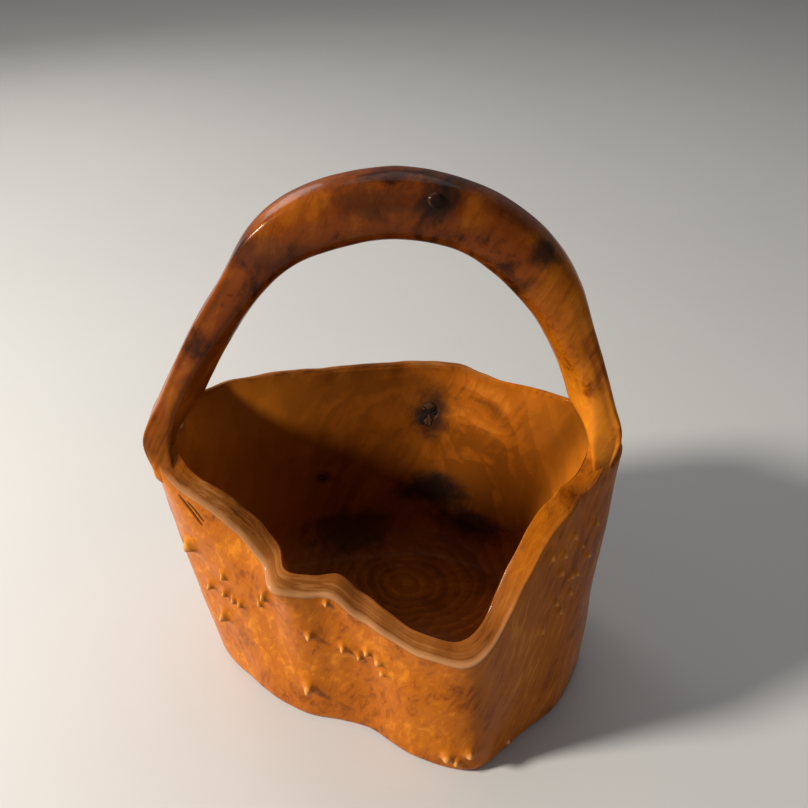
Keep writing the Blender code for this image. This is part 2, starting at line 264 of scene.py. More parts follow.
def plain_rim(degrees):
    """Height of the rim without them: its share between front corner and shoulders, and at the
    back the part of it that BACK_HEIGHT sets."""
    share = outline(4, degrees)
    around = (np.asarray(degrees, float) + 90.0) % 360.0 - 90.0
    inside = np.minimum(around - BACK_FROM, BACK_TO - around) / BACK_FADE
    back = np.clip(inside, 0.0, 1.0)
    usual = FRONT_HEIGHT + share * (SHOULDER_HEIGHT - FRONT_HEIGHT)
    behind = BACK_HEIGHT + (share - BACK_SHARE) * (SHOULDER_HEIGHT - FRONT_HEIGHT)
    return usual + back * (behind - usual) + UNEVEN * wobble(degrees, 4, 9, 40)


def outer_radius(degrees, up):
    """Share of the plan ellipse at an angle and a height share: the quadratic through the three
    radii of the outline, and the tongue that leans out just under the rim."""
    foot, wall, rim = (outline(c, degrees) for c in (1, 2, 3))
    radius = (
        foot * (up - KNEE) * (up - 1) / KNEE
        + wall * up * (up - 1) / (KNEE * (KNEE - 1))
        + rim * up * (up - KNEE) / (1 - KNEE)
    )
    edge = smooth(0.86, 1.0, up)
    lip = LIP_OUT * bump(degrees, LIP_ANGLE, LIP_WIDTH) + UNEVEN * wobble(degrees, 7, 11, 50)
    return radius + edge * lip / (DEPTH / 2)


def outer_point(degrees, up):
    """Point of the outer wall: the angle in plan, and 0 at the underside to 1 at the rim."""
    height = up * rim_height(degrees)
    radius = outer_radius(degrees, np.minimum(height / plain_rim(degrees), 1.0))
    angle = np.radians(degrees)
    return np.stack(
        (
            radius * WIDTH / 2 * np.cos(angle),
            radius * DEPTH / 2 * np.sin(angle),
            height,
        ),
        axis=-1,
    )


def pulled_in(points, distance):
    """Points moved level towards the middle by a distance."""
    level = points.copy()
    level[..., 2] = 0.0
    length = np.linalg.norm(level, axis=-1, keepdims=True)
    return points - level / length * np.asarray(distance)[..., None]


def rim_tilt(degrees):
    """How far the rim's inner edge stands above its outer edge: most at the front."""
    front = smooth(-0.2, 0.7, np.cos(np.radians(turned(degrees, 265.0))))
    return RIM_TILT_BACK + (RIM_TILT_FRONT - RIM_TILT_BACK) * front


def back_share(degrees):
    """1 along the back, 0 along the shoulders and the front."""
    side = turned(degrees, 82.0)
    return smooth(90.0, 64.0, np.abs(side))


def wall_thickness(degrees, up):
    """Thickness of the wall: from foot to rim, and pared down towards the back's rim."""
    pared = (WALL - WALL_BACK) * back_share(degrees) * smooth(1 - PARED, 1.0, up)
    return WALL + (WALL_FOOT - WALL) * (1 - up) - pared


def inner_point(degrees, up):
    """Point of the inner wall at a height share; its top leans up to the rim's inner edge."""
    thickness = wall_thickness(degrees, up)
    point = pulled_in(outer_point(degrees, up), thickness)
    point[..., 2] += rim_tilt(degrees) * up**4
    return point


def arch_values(along):
    """Centre, thickness, depth, ridge and paring of the arch at shares 0 to 1 along it."""
    table = np.array(ARCH)
    steps = np.linspace(0.0, 1.0, len(table))
    across, rise, thick, deep, ridge, pared = (through(steps, column, along) for column in table.T)
    centre = np.stack(
        (
            across * WIDTH / 2,
            np.full_like(across, HANDLE_SETBACK),
            SHOULDER_HEIGHT + rise * (CROWN - SHOULDER_HEIGHT),
        ),
        axis=-1,
    )
    return centre, thick * HANDLE_THICKNESS / 2, deep * HANDLE_DEPTH / 2, ridge, pared


def arch_point(along, round_angle):
    """Point of the arch's surface: a squarish oval across its centre line, with a ridge on its
    front outer corner and its front squeezed towards the outer side by the paring. The angle
    is 0 straight ahead and 90 degrees on the outer side."""
    centre, thick, deep, ridge, pared = arch_values(along)
    step = 1e-3
    run = arch_values(along + step)[0] - arch_values(along - step)[0]
    run /= np.linalg.norm(run, axis=-1, keepdims=True)
    out = np.stack((-run[..., 2], np.zeros_like(run[..., 0]), run[..., 0]), axis=-1)
    c, s = np.cos(round_angle), np.sin(round_angle)
    grown = 1 + ridge * (bump(np.degrees(round_angle), RIDGE_ANGLE, RIDGE_WIDTH) - 0.25)
    root = smooth(SHOULDER_HEIGHT + ROOT_FADE, SHOULDER_HEIGHT + ROOT_FADE / 4, centre[..., 2])
    power = 2 / (SQUARENESS + ROOT_SQUARENESS * root)
    ahead = np.sign(c) * np.abs(c) ** power * deep * grown
    outwards = np.sign(s) * np.abs(s) ** power * thick * grown
    squeeze = pared * smooth(-0.7, 1.0, ahead / deep)
    outwards = thick - (thick - outwards) * (1 - squeeze)
    point = centre + out * outwards[..., None]
    point[..., 1] -= ahead
    return point


def plan_place(points):
    """Angle in plan, height share and distance inside the outer wall of points of the block."""
    x, y, z = np.moveaxis(points, -1, 0)
    degrees = np.degrees(np.arctan2(y / (DEPTH / 2), x / (WIDTH / 2)))
    up = z / rim_height(degrees)
    radius = np.hypot(x / (WIDTH / 2), y / (DEPTH / 2))
    reach = np.hypot(x, y) / radius
    level = np.clip(z / plain_rim(degrees), 0, 1)
    depth = (outer_radius(degrees, level) - radius) * reach
    return degrees, up, depth


def rooted(points):
    """Rows of points round the arch, with each leg spread through the wall it grows from: at
    the rim its section lies between the wall's two faces, and higher up it turns into its own."""
    degrees, _, depth = plan_place(points)
    above = points[..., 2] - plain_rim(degrees)
    inset = ROOT_INSET * smooth(0.0, -ROOT_DEEP, above) - ROOT_PROUD
    thickness = wall_thickness(degrees, np.ones_like(degrees))
    least, most = depth.min(1, keepdims=True), depth.max(1, keepdims=True)
    share = (depth - least) / (most - least)
    in_wall = inset + share * (thickness - 2 * inset)
    return pulled_in(points, (in_wall - depth) * smooth(ROOT_FADE, 0.0, above))


RIM_LINE = outer_point(np.arange(360.0), np.ones(360))
PLAN_SHIFT = np.append(-(RIM_LINE.min(axis=0) + RIM_LINE.max(axis=0))[:2] / 2, 0.0)


# ---------------------------------------------------------------- meshes
def tube(rows):
    """Closed surface through rows of points, rows by round by 3: a quad between each pair of
    neighbours, and a fan to the middle of the first and of the last row."""
    count, around = rows.shape[:2]
    points = np.concatenate((rows.reshape(-1, 3), rows[0].mean(0)[None], rows[-1].mean(0)[None]))
    i, j = np.meshgrid(np.arange(count - 1), np.arange(around), indexing="ij")
    after = (j + 1) % around
    quads = np.stack(
        (i * around + j, i * around + after, (i + 1) * around + after, (i + 1) * around + j), -1
    )
    ring = np.arange(around)
    first = np.stack((np.roll(ring, -1), ring, np.full(around, count * around)), -1)
    last = (count - 1) * around + ring
    last = np.stack((last, np.roll(last, -1), np.full(around, count * around + 1)), -1)
    return points, quads.reshape(-1, 4).tolist() + first.tolist() + last.tolist()


def mesh_of(name, points, faces):
    mesh = bpy.data.meshes.new(name)
    mesh.from_pydata(points, [], faces)
    mesh.validate()
    mesh.shade_smooth()
    return mesh


def linked(name, mesh):
    piece = bpy.data.objects.new(name, mesh)
    bpy.context.scene.collection.objects.link(piece)
    return piece


def coordinates(mesh):
    points = np.empty(len(mesh.vertices) * 3, np.float32)
    mesh.vertices.foreach_get("co", points)
    return points.reshape(-1, 3).astype(float)


def normals(mesh):
    found = np.empty(len(mesh.vertices) * 3, np.float32)
    mesh.vertex_normals.foreach_get("vector", found)
    return found.reshape(-1, 3).astype(float)


def set_coordinates(mesh, points):
    mesh.vertices.foreach_set("co", np.ascontiguousarray(points, np.float32).ravel())
    mesh.update()


def rounded_corner(before, corner, after):
    """Three rings round an edge: a quadratic curve from before to after that the corner pulls."""
    return [
        before * (1 - t) ** 2 + corner * 2 * t * (1 - t) + after * t**2 for t in (0.25, 0.5, 0.75)
    ]


def bowl_shell():
    """The bowl as one closed surface, a profile of rows turned through the angles of the plan:
    underside, foot, outer wall, rim band, inner wall, floor corner and floor."""
    degrees = np.arange(ROUND_STEPS) * 360.0 / ROUND_STEPS
    height = rim_height(degrees)
    ones = np.ones_like(degrees)
    foot = outer_point(degrees, 0 * ones)
    rows = [pulled_in(foot, FOOT_ROUND) * share for share in (0.1, 0.3, 0.5, 0.7, 0.85, 0.95)]
    for turn in np.radians((0, 22, 45, 68, 90)):
        ring = outer_point(degrees, FOOT_ROUND * (1 - np.cos(turn)) / height)
        rows.append(pulled_in(ring, FOOT_ROUND * (1 - np.sin(turn))))
    start = FOOT_ROUND / height
    stop = 1 - RIM_EDGE / height
    for share in np.linspace(0, 1, WALL_ROWS)[1:]:
        rows.append(outer_point(degrees, start + share * (stop - start)))
    outer_edge = outer_point(degrees, ones)
    inner_edge = inner_point(degrees, ones)
    band = inner_edge - outer_edge
    wide = np.linalg.norm(band, axis=1)
    ease = (np.minimum(RIM_EDGE, wide / 4) / wide)[:, None]
    first, last = outer_edge + band * ease, inner_edge - band * ease
    rows += rounded_corner(rows[-1], outer_edge, first)
    for share in np.linspace(0, 1, RIM_ROWS):
        ring = first + (last - first) * share
        ring[:, 2] += RIM_CROWN * np.sin(share * np.pi)
        rows.append(ring)
    wall_top = inner_point(degrees, stop)
    rows += rounded_corner(last, inner_edge, wall_top)
    bend = (FLOOR + FLOOR_CORNER) / height
    for share in np.linspace(0, 1, HOLLOW_ROWS):
        rows.append(inner_point(degrees, stop + share * (bend - stop)))
    wall_end = rows[-1]
    for turn in np.radians(np.arange(11.25, 91, 11.25)):
        ring = pulled_in(wall_end, FLOOR_CORNER * (1 - np.cos(turn)))
        ring[:, 2] = wall_end[:, 2] + (FLOOR - wall_end[:, 2]) * np.sin(turn)
        rows.append(ring)
    flat = rows[-1]
    rows += [flat * (share, share, 1.0) for share in (0.94, 0.85, 0.7, 0.55, 0.4, 0.25, 0.1)]
    return tube(np.array(rows))


def arch_shell():
    """The handle as one closed surface, its squarish section carried along the arch."""
    angles = np.linspace(0, 2 * np.pi, ARCH_ROUND_STEPS, endpoint=False)
    along, angles = np.meshgrid(np.linspace(0.0, 1.0, ARCH_STEPS), angles, indexing="ij")
    return tube(rooted(arch_point(along, angles)))


def refined(mesh, wanted):
    """Mesh with the faces whose middle is wanted split in four."""
    middles = np.empty(len(mesh.polygons) * 3, np.float32)
    mesh.polygons.foreach_get("center", middles)
    chosen = np.flatnonzero(wanted(middles.reshape(-1, 3).astype(float)))
    bm = bmesh.new()
    bm.from_mesh(mesh)
    bm.faces.ensure_lookup_table()
    edges = {edge for k in chosen for edge in bm.faces[k].edges}
    bmesh.ops.subdivide_edges(bm, edges=list(edges), cuts=1, use_grid_fill=True)
    bm.to_mesh(mesh)
    bm.free()
    return mesh


def wall_offset(around, up, reach, height, degrees, level):
    """Distance along the wall and up it, in metres, from one place to points given by their
    angle, height share, distance from the middle and rim height."""
    return np.radians(turned(around, degrees)) * reach, (up - level) * height


def spike_field(points):
    """Height and nearness of the burl spikes at points. A spike is a bell with a soft foot, its
    tip low: above the tip it runs out in a ridge, below it the bell drops off steeply."""
    flat = points - PLAN_SHIFT
    around, _, depth = plan_place(flat)
    reach = np.hypot(flat[:, 0], flat[:, 1])
    rise = plain_rim(around)
    up = points[:, 2] / rise
    height = np.zeros(len(points))
    near = np.full(len(points), 9.0)
    for degrees, level, radius, tall in SPIKES:
        aside, above = wall_offset(around, up, reach, rise, degrees, level)
        above = above * (1.25 - 0.75 * smooth(-0.0012, 0.0012, above))
        away = np.hypot(aside, above) / (radius * 1e-3)
        foot = SPIKE_FOOT * np.exp(-((away / 1.3) ** 2))
        nub = (1 - SPIKE_FOOT) * np.exp(-((away / 0.52) ** 2))
        height = np.maximum(height, (foot + nub) * tall * 1e-3)
        near = np.minimum(near, away)
    outside = smooth(WALL * 0.6, WALL * 0.3, depth)
    return height * outside, np.where(depth < WALL / 2, near, 9.0)


def near_spikes(points):
    return spike_field(points)[1] < 1.5


def near_checks(points):
    """Whether points are near the checks or a knot, whose edges need the finest faces."""
    degrees, up, depth = plan_place(points - PLAN_SHIFT)
    low_end, high_end = CHECKS[0][0] - 1.0, CHECKS[-1][2] + 1.0
    level = (up > CHECKS[0][3] - 0.03) & (up < 1.01) & (depth < WALL / 2)
    near = level & (turned(degrees, low_end) > 0) & (turned(degrees, high_end) < 0)
    for _, place, lobes in KNOTS:
        size = max(lobe[0] for lobe in lobes) * 1.1
        near |= np.linalg.norm(points - np.array(place.translation), axis=1) < size
    return near


def carved_waves(points, seed, shortest, longest, count):
    """Soft unevenness left by the gouge: a sum of plane waves in random directions, their lengths
    between the shortest and the longest. About 1 at its largest."""
    rng = np.random.default_rng(seed)
    way = rng.normal(size=(count, 3))
    way /= np.linalg.norm(way, axis=1, keepdims=True)
    way *= 2 * np.pi / rng.uniform(shortest, longest, (count, 1))
    phase = rng.uniform(0, 2 * np.pi, count)
    return np.sin(points @ way.T + phase).sum(1) / np.sqrt(count)


def check_field(points):
    """Nearness, 0 to 1, of the drying checks: distance to each straight run on the wall, and how
    deep the wood has opened there, in metres."""
    flat = points - PLAN_SHIFT
    around, _, depth = plan_place(flat)
    reach = np.hypot(flat[:, 0], flat[:, 1])
    rise = plain_rim(around)
    up = points[:, 2] / rise
    dark = np.zeros(len(points))
    sunk = np.zeros(len(points))
    for degrees, level, end_degrees, end_level, deep in CHECKS:
        x, y = wall_offset(around, up, reach, rise, degrees, level)
        end = (
            np.radians(end_degrees - degrees) * CHECK_PLACE[0],
            (end_level - level) * CHECK_PLACE[1],
        )
        length = math.hypot(*end)
        along = np.clip((x * end[0] + y * end[1]) / length**2, 0, 1)
        away = np.hypot(x - along * end[0], y - along * end[1])
        width = CHECK_WIDTH * (0.25 + np.sqrt(np.clip(along * (1 - along), 0, 1)) * 1.5)
        near = smooth(width * 1.2, width * 0.2, away) * (depth < WALL / 2)
        dark = np.maximum(dark, near)
        sunk = np.maximum(sunk, near * deep)
    return dark, sunk


def knot_field(points):
    """How deep the wood is sunk at points round the three knots, in metres."""
    sunk = np.zeros(len(points))
    for _, frame_of, lobes in KNOTS:
        local = (points - np.array(frame_of.translation)) @ np.array(frame_of.to_3x3())
        inside = np.full(len(points), 9.0)
        for across, aside, above in lobes:
            away = np.hypot(local[:, 0] - aside, local[:, 1] - above) / (across / 2)
            inside = np.minimum(inside, away)
        near = np.abs(local[:, 2]) < KNOT_DEPTH - 0.001
        sunk = np.maximum(sunk, KNOT_SUNK * smooth(1.0, 0.75, inside) * near)
    return sunk


def detailed(mesh):
    """The block's fine shape: gouge marks, burl spikes, drying checks and the hollows round the
    knots move its skin along its normals."""
    points = coordinates(mesh)
    normal = normals(mesh)
    degrees, up, depth = plan_place(points - PLAN_SHIFT)
    over_rim = (up - 1) * rim_height(degrees)
    over_plain = points[:, 2] - plain_rim(degrees)
    leg = smooth(0.002, 0.020, over_plain)
    spikes, near = spike_field(points)
    dark, sunk = check_field(points)
    waves = sum(tall * carved_waves(points, *draw) for tall, *draw in GOUGE_MARKS)
    grown = (waves + SPIKES_STAND * spikes) * smooth(0.0005, 0.004, points[:, 2])
    move = grown - sunk - knot_field(points)
    moved = points + normal * move[:, None]
    moved[:, 2] = np.maximum(moved[:, 2], 0.0)
    set_coordinates(mesh, moved)
    thickness = wall_thickness(degrees, np.clip(up, 0, 1))
    within = smooth(thickness - 0.0018, thickness - 0.0004, depth)
    within *= 1 - smooth(0.004, 0.020, over_plain)
    within *= smooth(FLOOR * 0.3, FLOOR * 0.8, points[:, 2])
    rim = smooth(-0.0022, -0.0006, over_rim) * smooth(thickness + 0.0012, thickness - 0.0004, depth)
    rim *= 1 - leg
    # Thin line along the rim's outer edge, where its painted highlight goes.
    outer_line = rim * smooth(0.0030, 0.0006, np.abs(depth - 0.0004))
    reach = np.hypot(*points[:, :2].T)
    keep(mesh, "leg", leg)
    keep(mesh, "inside", within * (1 - rim))
    keep(mesh, "rim", rim)
    keep(mesh, "rim_edge", outer_line)
    keep(mesh, "spike", smooth(1.1, 0.25, near))
    keep(mesh, "check", dark)
    band = np.stack((depth, np.radians(degrees) * reach, over_rim), 1)
    mesh.attributes.new("band", "FLOAT_VECTOR", "POINT")
    mesh.attributes["band"].data.foreach_set("vector", band.astype(np.float32).ravel())
    return mesh


def keep(mesh, name, values):
    """Mask of the mesh's points that its material reads."""
    layer = mesh.attributes.new(name, "FLOAT", "POINT")
    layer.data.foreach_set("value", np.asarray(values, np.float32))


# ---------------------------------------------------------------- knots
def facing(point, along_u, along_v):
    """Place on a surface with +Z along its outward normal."""
    normal = Vector(np.cross(along_u, along_v)).normalized()
    turn = normal.to_track_quat("Z", "Y").to_matrix().to_4x4()
    return Matrix.Translation(Vector(point + PLAN_SHIFT)) @ turn


def inner_wall_frame(degrees, up):
    here = inner_point(np.array(degrees), np.array(up))
    aside = inner_point(np.array(degrees + 1.0), np.array(up)) - here
    above = inner_point(np.array(degrees), np.array(up + 0.02)) - here
    return facing(here, above, aside)


def arch_frame(along, degrees):
    angle = np.radians(degrees)
    here = arch_point(np.array(along), np.array(angle))
    further = arch_point(np.array(along + 0.01), np.array(angle)) - here
    higher = arch_point(np.array(along), np.array(angle + 0.05)) - here
    return facing(here, further, higher)


# Name, place and lobes of each knot: diameter of a lobe, then its place across the face.
KNOTS = (
    (
        "wall_knot",
        inner_wall_frame(*WALL_KNOT_AT),
        ((0.0125, 0.0015, 0.00375), (0.0100, -0.0015, -0.0034)),
    ),
    ("pin_knot", inner_wall_frame(*PIN_KNOT_AT), ((0.0045, 0.0, 0.0),)),
    ("handle_knot", arch_frame(*HANDLE_KNOT_AT), ((0.0065, 0.0, 0.0),)),
)


# Side of a knot: share of its outline, share of its depth.
KNOT_SIDE = ((1.0, 0.06), (0.99, 0.16), (0.93, 0.4), (0.86, 0.7), (0.78, 0.95), (0.6, 1.0))


def knot_plug(name, place, lobes, seed):
    """Dead knot: an uneven outline through its lobes, carried from the middle of its slightly
    domed face over a broken edge and down a tapered side to its end."""
    angles = np.linspace(0, 2 * np.pi, 72, endpoint=False)
    ray = np.stack((np.cos(angles), np.sin(angles)), 1)
    reach = np.zeros_like(angles)
    for across, aside, above in lobes:
        middle = np.array((aside, above))
        dot = ray @ middle
        root = np.clip(dot**2 - middle @ middle + (across / 2) ** 2, 0, None)
        reach = np.maximum(reach, dot + np.sqrt(root))
    reach = reach * (1 + 0.13 * wobble(np.degrees(angles), seed, 2, 16))
    rows = []
    size = reach.mean()
    for share in (0.12, 0.3, 0.5, 0.68, 0.82, 0.92, 0.98):
        ring = ray * (reach * share)[:, None]
        crack = np.exp(-(((np.degrees(angles) + 25) % 120 - 60) / 7.0) ** 2)
        crack *= 0.08 * size * share
        rows.append(np.column_stack((ring, 0.03 * size * (1 - share**2) - crack)))
    for share, deep in KNOT_SIDE:
        ring = ray * (reach * share)[:, None]
        rows.append(np.column_stack((ring, np.full(len(ring), -deep * KNOT_DEPTH))))
    points, faces = tube(np.array(rows))
    turn = np.array(place.to_3x3())
    points = points @ turn.T + np.array(place.translation)
    mesh = mesh_of(name, points, faces)
    point_outwards(mesh)
    return linked(f"dead_{name}", mesh)


def point_outwards(mesh):
    bm = bmesh.new()
    bm.from_mesh(mesh)
    bmesh.ops.recalc_face_normals(bm, faces=bm.faces)
    bm.to_mesh(mesh)
    bm.free()


# ---------------------------------------------------------------- bowl and handle
def grown_piece(name, shell):
    """Bowl or handle with finer faces where it needs them, then its fine shape and masks."""
    mesh = mesh_of(name, *shell)
    for wanted in (near_spikes, near_checks) * 2:
        mesh = refined(mesh, lambda middles: wanted(middles + PLAN_SHIFT))
    set_coordinates(mesh, coordinates(mesh) + PLAN_SHIFT)
    return linked(name, detailed(mesh))


# ---------------------------------------------------------------- shader wiring
class Wiring:
    """Short forms for placing and joining the nodes of one tree."""

    def __init__(self, tree):
        self.tree = tree

    def node(self, kind, inputs=None, **settings):
        made = self.tree.nodes.new(f"ShaderNode{kind}")
        for key, value in settings.items():
            setattr(made, key, value)
        self.fill(made, inputs or {})
        return made

    def fill(self, made, inputs):
        for name, value in inputs.items():
            self.put(made.inputs[name], value)

    def put(self, socket, value):
        if isinstance(value, bpy.types.NodeSocket):
            self.tree.links.new(value, socket)
        else:
            socket.default_value = value

    def math(self, operation, a, b=0.0, clamp=False):
        return self.node("Math", {0: a, 1: b}, operation=operation, use_clamp=clamp).outputs[0]

    def times(self, a, b):
        return self.math("MULTIPLY", a, b)

    def plus(self, a, b, clamp=False):
        return self.math("ADD", a, b, clamp)

    def minus(self, a, b, clamp=False):
        return self.math("SUBTRACT", a, b, clamp)

    def vector(self, operation, a, b=(0.0, 0.0, 0.0)):
        return self.node("VectorMath", {0: a, 1: b}, operation=operation).outputs[0]

    def scaled(self, vector, times):
        return self.node("VectorMath", {0: vector, "Scale": times}, operation="SCALE").outputs[0]

    def length(self, vector):
        return self.node("VectorMath", {0: vector}, operation="LENGTH").outputs["Value"]

    def span(self, value, low, high, to_low=0.0, to_high=1.0):
        """Value taken from low..high to to_low..to_high along an S curve, held at both ends."""
        ends = {"From Min": low, "From Max": high, "To Min": to_low, "To Max": to_high}
        made = self.node("MapRange", {"Value": value, **ends}, interpolation_type="SMOOTHSTEP")
        return made.outputs["Result"]

    def mix(self, share, a, b):
        made = self.node("Mix", data_type="RGBA")
        for index, value in ((0, share), (6, a), (7, b)):
            self.put(made.inputs[index], value)
        return made.outputs[2]

    def noise(self, vector, scale, detail=3.0, roughness=0.55, distortion=0.0):
        look = {"Scale": scale, "Detail": detail, "Roughness": roughness, "Distortion": distortion}
        return self.node("TexNoise", {"Vector": vector, **look}).outputs

    def attribute(self, name):
        return self.node("Attribute", attribute_name=name, attribute_type="GEOMETRY").outputs

    def mask(self, name):
        return self.attribute(name)["Fac"]

    def use(self, group, inputs):
        made = self.tree.nodes.new("ShaderNodeGroup")
        made.node_tree = group
        self.fill(made, inputs)
        return made.outputs


KINDS = {"v": "NodeSocketVector", "f": "NodeSocketFloat", "c": "NodeSocketColor"}


def effect(name, inputs, outputs):
    """Empty node group with named inputs and outputs; returns it, its wiring and its two ends."""
    tree = bpy.data.node_groups.new(name, "ShaderNodeTree")
    for way, sockets in (("INPUT", inputs), ("OUTPUT", outputs)):
        for label, kind in sockets:
            tree.interface.new_socket(label, in_out=way, socket_type=KINDS[kind])
    start = tree.nodes.new("NodeGroupInput")
    end = tree.nodes.new("NodeGroupOutput")
    return tree, Wiring(tree), start.outputs, end.inputs


def make_burl_figure():
    """Swirling figure of burl wood: noise read at places that a coarser noise has pushed about.
    Tone is its broad light and dark, Veins its thin dark contour lines."""
    tree, w, given, out = effect(
        "burl_figure",
        (("Vector", "v"), ("Size", "f"), ("Swirl", "f"), ("Lines", "f")),
        (("Tone", "f"), ("Veins", "f")),
    )
    scale = w.math("DIVIDE", 1.0, given["Size"])
    push = w.noise(given["Vector"], w.times(scale, 0.55), 2.0)["Color"]
    push = w.vector("SUBTRACT", push, (0.5, 0.5, 0.5))
    reach = w.times(given["Swirl"], given["Size"])
    moved = w.vector("ADD", given["Vector"], w.scaled(push, reach))
    broad = w.noise(moved, scale, 5.0, 0.62)["Fac"]
    w.put(out["Tone"], w.span(broad, 0.30, 0.70))
    smooth_field = w.noise(moved, w.times(scale, 0.45), 1.0, 0.4)["Fac"]
    wave = w.math("SINE", w.times(smooth_field, w.times(given["Lines"], 6.2832)))
    w.put(out["Veins"], w.span(wave, 0.35, 1.0))
    return tree


def make_growth_rings():
    """Yearly rings cut across: distance from the pith's line, each axis stretched, wandering
    with a noise, then repeated at the spacing. Rings is dark at each late wood line."""
    tree, w, given, out = effect(
        "growth_rings",
        (("Vector", "v"), ("Pith", "v"), ("Stretch", "v"), ("Spacing", "f"), ("Wander", "f")),
        (("Rings", "f"),),
    )
    local = w.vector("SUBTRACT", given["Vector"], given["Pith"])
    local = w.vector("MULTIPLY", local, given["Stretch"])
    push = w.noise(given["Vector"], 22.0, 3.0, 0.5)["Color"]
    push = w.vector("SUBTRACT", push, (0.5, 0.5, 0.5))
    far = w.length(w.vector("ADD", local, w.scaled(push, given["Wander"])))
    turns = w.math("DIVIDE", far, given["Spacing"])
    uneven = w.noise(given["Vector"], 9.0, 1.0)["Fac"]
    turns = w.plus(turns, w.times(uneven, 1.5))
    part = w.math("FRACT", turns)
    rise = w.span(part, 0.0, 0.80)
    fall = w.span(part, 1.0, 0.86)
    w.put(out["Rings"], w.times(rise, fall))
    return tree


def make_fibres():
    """Fine streaks along the grain: noise on coordinates turned, then squeezed along one axis."""
    tree, w, given, out = effect(
        "fibres",
        (("Vector", "v"), ("Turn", "v"), ("Fineness", "f"), ("Length", "f")),
        (("Streaks", "f"), ("Pores", "f")),
    )
    turn = {"Vector": given["Vector"], "Rotation": given["Turn"]}
    lying = w.node("VectorRotate", turn, rotation_type="EULER_XYZ").outputs[0]
    short = w.math("DIVIDE", 1.0, given["Length"])
    squeeze = w.node("CombineXYZ", {0: 1.0, 1: 1.0, 2: short}).outputs[0]
    flat = w.vector("MULTIPLY", lying, squeeze)
    streaks = w.noise(flat, given["Fineness"], 4.0, 0.65, 0.6)["Fac"]
    w.put(out["Streaks"], w.span(streaks, 0.28, 0.72))
    fine = w.noise(flat, w.times(given["Fineness"], 4.5), 2.0, 0.6)["Fac"]
    w.put(out["Pores"], w.span(fine, 0.62, 0.74))
    return tree


def make_dark_patch():
    """Dark stain round a place: distance from it, each axis stretched, with a ragged edge."""
    tree, w, given, out = effect(
        "dark_patch",
        (("Vector", "v"), ("Middle", "v"), ("Stretch", "v"), ("Radius", "f"), ("Ragged", "f")),
        (("Stain", "f"),),
    )
    local = w.vector("SUBTRACT", given["Vector"], given["Middle"])
    local = w.vector("MULTIPLY", local, given["Stretch"])
    far = w.math("DIVIDE", w.length(local), given["Radius"])
    fine = w.math("DIVIDE", 1.4, given["Radius"])
    rough = w.noise(given["Vector"], fine, 5.0, 0.65)["Fac"]
    rough = w.times(w.minus(rough, 0.5), given["Ragged"])
    w.put(out["Stain"], w.span(w.plus(far, rough), 1.15, 0.35))
    return tree


def make_three_tones():
    """Colour of a tone from 0 to 1 between a dark, a middle and a light wood colour."""
    tree, w, given, out = effect(
        "three_tones",
        (("Tone", "f"), ("Dark", "c"), ("Middle", "c"), ("Light", "c")),
        (("Colour", "c"),),
    )
    lower = w.mix(w.span(given["Tone"], 0.0, 0.5), given["Dark"], given["Middle"])
    w.put(out["Colour"], w.mix(w.span(given["Tone"], 0.5, 1.0), lower, given["Light"]))
    return tree


def make_varnish():
    """Brushed varnish: slightly uneven gloss, duller where it's rubbed, and a faint orange peel."""
    tree, w, given, out = effect(
        "varnish",
        (("Vector", "v"), ("Gloss", "f"), ("Rubbed", "f")),
        (("Roughness", "f"), ("Height", "f")),
    )
    cloud = w.noise(given["Vector"], 38.0, 4.0, 0.6)["Fac"]
    smear = w.noise(given["Vector"], 160.0, 3.0, 0.6)["Fac"]
    uneven = w.plus(w.times(cloud, 0.16), w.times(smear, 0.07))
    rough = w.plus(w.minus(1.0, given["Gloss"]), w.minus(uneven, 0.11))
    rough = w.plus(rough, w.times(given["Rubbed"], 0.22), clamp=True)
    w.put(out["Roughness"], rough)
    peel = w.noise(given["Vector"], 420.0, 2.0, 0.5)["Fac"]
    swell = w.noise(given["Vector"], 90.0, 2.0, 0.5)["Fac"]
    w.put(out["Height"], w.plus(w.times(peel, 0.25), swell))
    return tree


FIGURE = make_burl_figure()
RINGS = make_growth_rings()
FIBRES = make_fibres()
PATCH = make_dark_patch()
TONES = make_three_tones()
VARNISH = make_varnish()

# Wood colours, dark, middle and light.
OUTER_WOOD = ((0.190, 0.040, 0.002, 1), (0.420, 0.108, 0.003, 1), (0.640, 0.205, 0.008, 1))
INNER_WOOD = ((0.170, 0.044, 0.003, 1), (0.320, 0.082, 0.005, 1), (0.500, 0.150, 0.012, 1))
RIM_WOOD = ((0.070, 0.020, 0.004, 1), (0.210, 0.064, 0.011, 1), (0.340, 0.130, 0.034, 1))
HANDLE_WOOD = ((0.030, 0.006, 0.001, 1), (0.165, 0.034, 0.003, 1), (0.270, 0.068, 0.004, 1))
KNOT_WOOD = ((0.006, 0.004, 0.003, 1), (0.022, 0.010, 0.006, 1), (0.085, 0.032, 0.012, 1))
STAINED = (0.012, 0.008, 0.007, 1)
# Painted highlight: the pale line where the rim's sharp outer edge catches the light.
PAINTED_EDGE_HIGHLIGHT = (0.60, 0.30, 0.13, 1)
# The tip colour is a painted highlight on the spikes' tips.
SPIKE_WOOD, SPIKE_TIP_HIGHLIGHT = (0.62, 0.24, 0.05, 1), (0.90, 0.48, 0.16, 1)
PORE, CHECK_WOOD = (0.09, 0.022, 0.006, 1), (0.030, 0.010, 0.004, 1)
# Painted shade: the hollow darker low down and at the back.
LOW_HOLLOW_PAINTED_SHADE, SHADY_HOLLOW = (0.055, 0.018, 0.003, 1), (0.120, 0.034, 0.003, 1)
# Painted light: the hollow paler towards its left and right ends.
LEFT_HOLLOW_PAINTED_LIGHT, RIGHT_HOLLOW_PAINTED_LIGHT = (0.42, 0.125, 0.008, 1), (0.56, 0.165, 0.010, 1)
# Painted light on the handle's right leg.
LIT_HANDLE = (0.78, 0.26, 0.02, 1)
PITH = (0.0130, 0.0312, 0.0)

